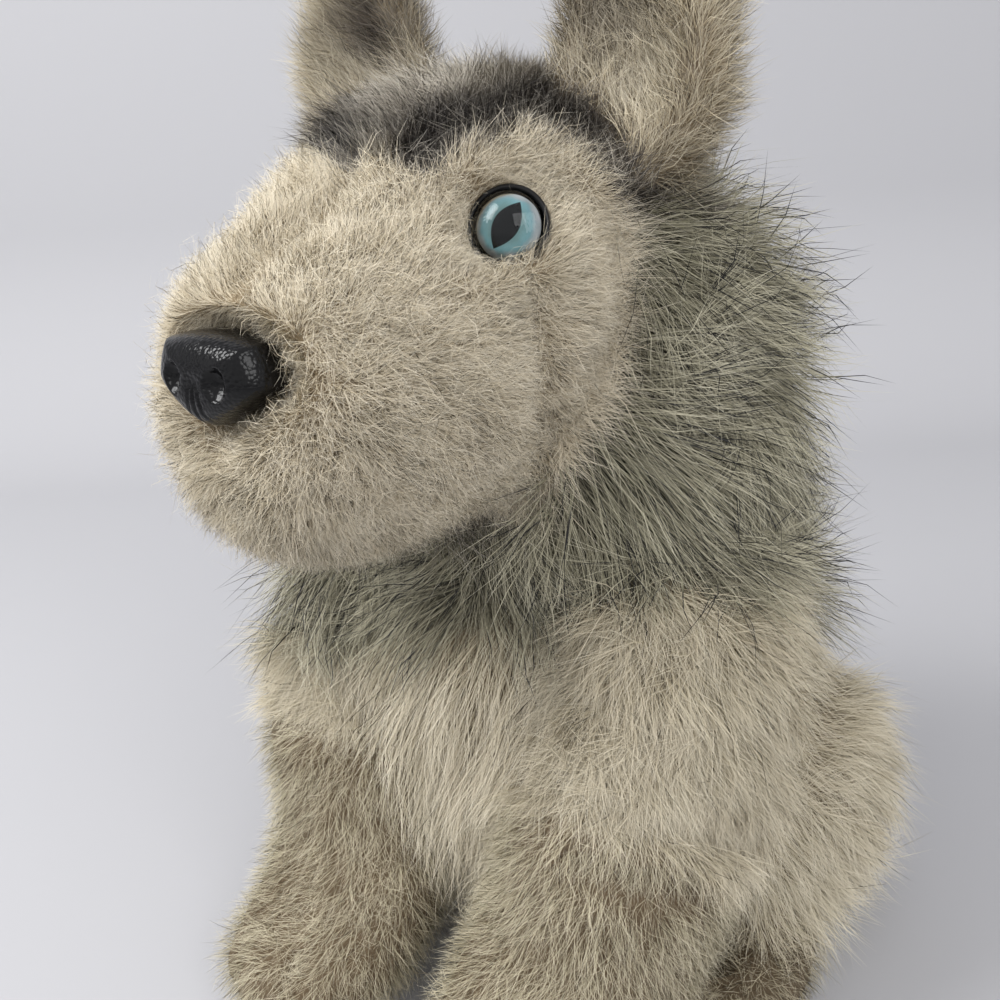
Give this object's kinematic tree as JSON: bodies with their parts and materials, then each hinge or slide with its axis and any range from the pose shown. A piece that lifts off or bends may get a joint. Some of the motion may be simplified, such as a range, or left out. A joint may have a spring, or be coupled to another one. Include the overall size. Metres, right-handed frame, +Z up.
{
  "type": "seated plush wolf",
  "caption": "Seated soft toy wolf with a short-haired pale face, long-haired ruff and body, and plastic safety eyes and nose.",
  "frame": {"origin": "on the wolf's middle plane, on the underside of the seat panel that it sits on", "axes": "+Z up, -Y the way the wolf faces, +X towards its left side"},
  "size_m": [0.2134, 0.3468, 0.3626],
  "materials": {
    "cream_plush": "short cream plush, pile about 12 mm",
    "crown_plush": "short grey-brown plush with black bands and pale tips",
    "ear_plush": "beige plush, dark inside at the roots of the ear",
    "ruff_pile": "long grey-green pile with black-tipped guard hairs",
    "body_pile": "long cream pile, brushed down",
    "leg_plush": "short light brown plush",
    "seat_cloth": "plain woven cloth",
    "stuffing": "loose polyester fibre",
    "black_plastic": "black, polished, the nose pebbled",
    "clear_plastic": "clear, polished",
    "iris_print": "printed pale blue-green iris with a black slit pupil",
    "washer_plastic": "plain moulded plastic"
  },
  "bodies": {
    "root": {"back_panel": "body_pile", "body_stuffing": "stuffing", "chest_panel": "body_pile", "crown": "crown_plush", "ear_back_left": "ear_plush", "ear_back_right": "ear_plush", "ear_lining_left": "ear_plush", "ear_lining_right": "ear_plush", "eye_back_left": "black_plastic", "eye_back_right": "black_plastic", "eye_iris_left": "iris_print", "eye_iris_right": "iris_print", "eye_lens_left": "clear_plastic", "eye_lens_right": "clear_plastic", "eye_washer_left": "washer_plastic", "eye_washer_right": "washer_plastic", "face_left": "cream_plush", "face_right": "cream_plush", "foreleg_left": "leg_plush", "foreleg_right": "leg_plush", "foreleg_stuffing_left": "stuffing", "foreleg_stuffing_right": "stuffing", "haunch_left": "body_pile", "haunch_right": "body_pile", "haunch_stuffing_left": "stuffing", "haunch_stuffing_right": "stuffing", "head_stuffing": "stuffing", "hind_foot_left": "leg_plush", "hind_foot_right": "leg_plush", "hind_foot_stuffing_left": "stuffing", "hind_foot_stuffing_right": "stuffing", "nose": "black_plastic", "nose_washer": "washer_plastic", "ruff": "ruff_pile", "seat_panel": "seat_cloth", "side_left": "body_pile", "side_right": "body_pile", "tail": "body_pile", "tail_stuffing": "stuffing", "upper_arm_left": "body_pile", "upper_arm_right": "body_pile"}
  },
  "joints": []
}
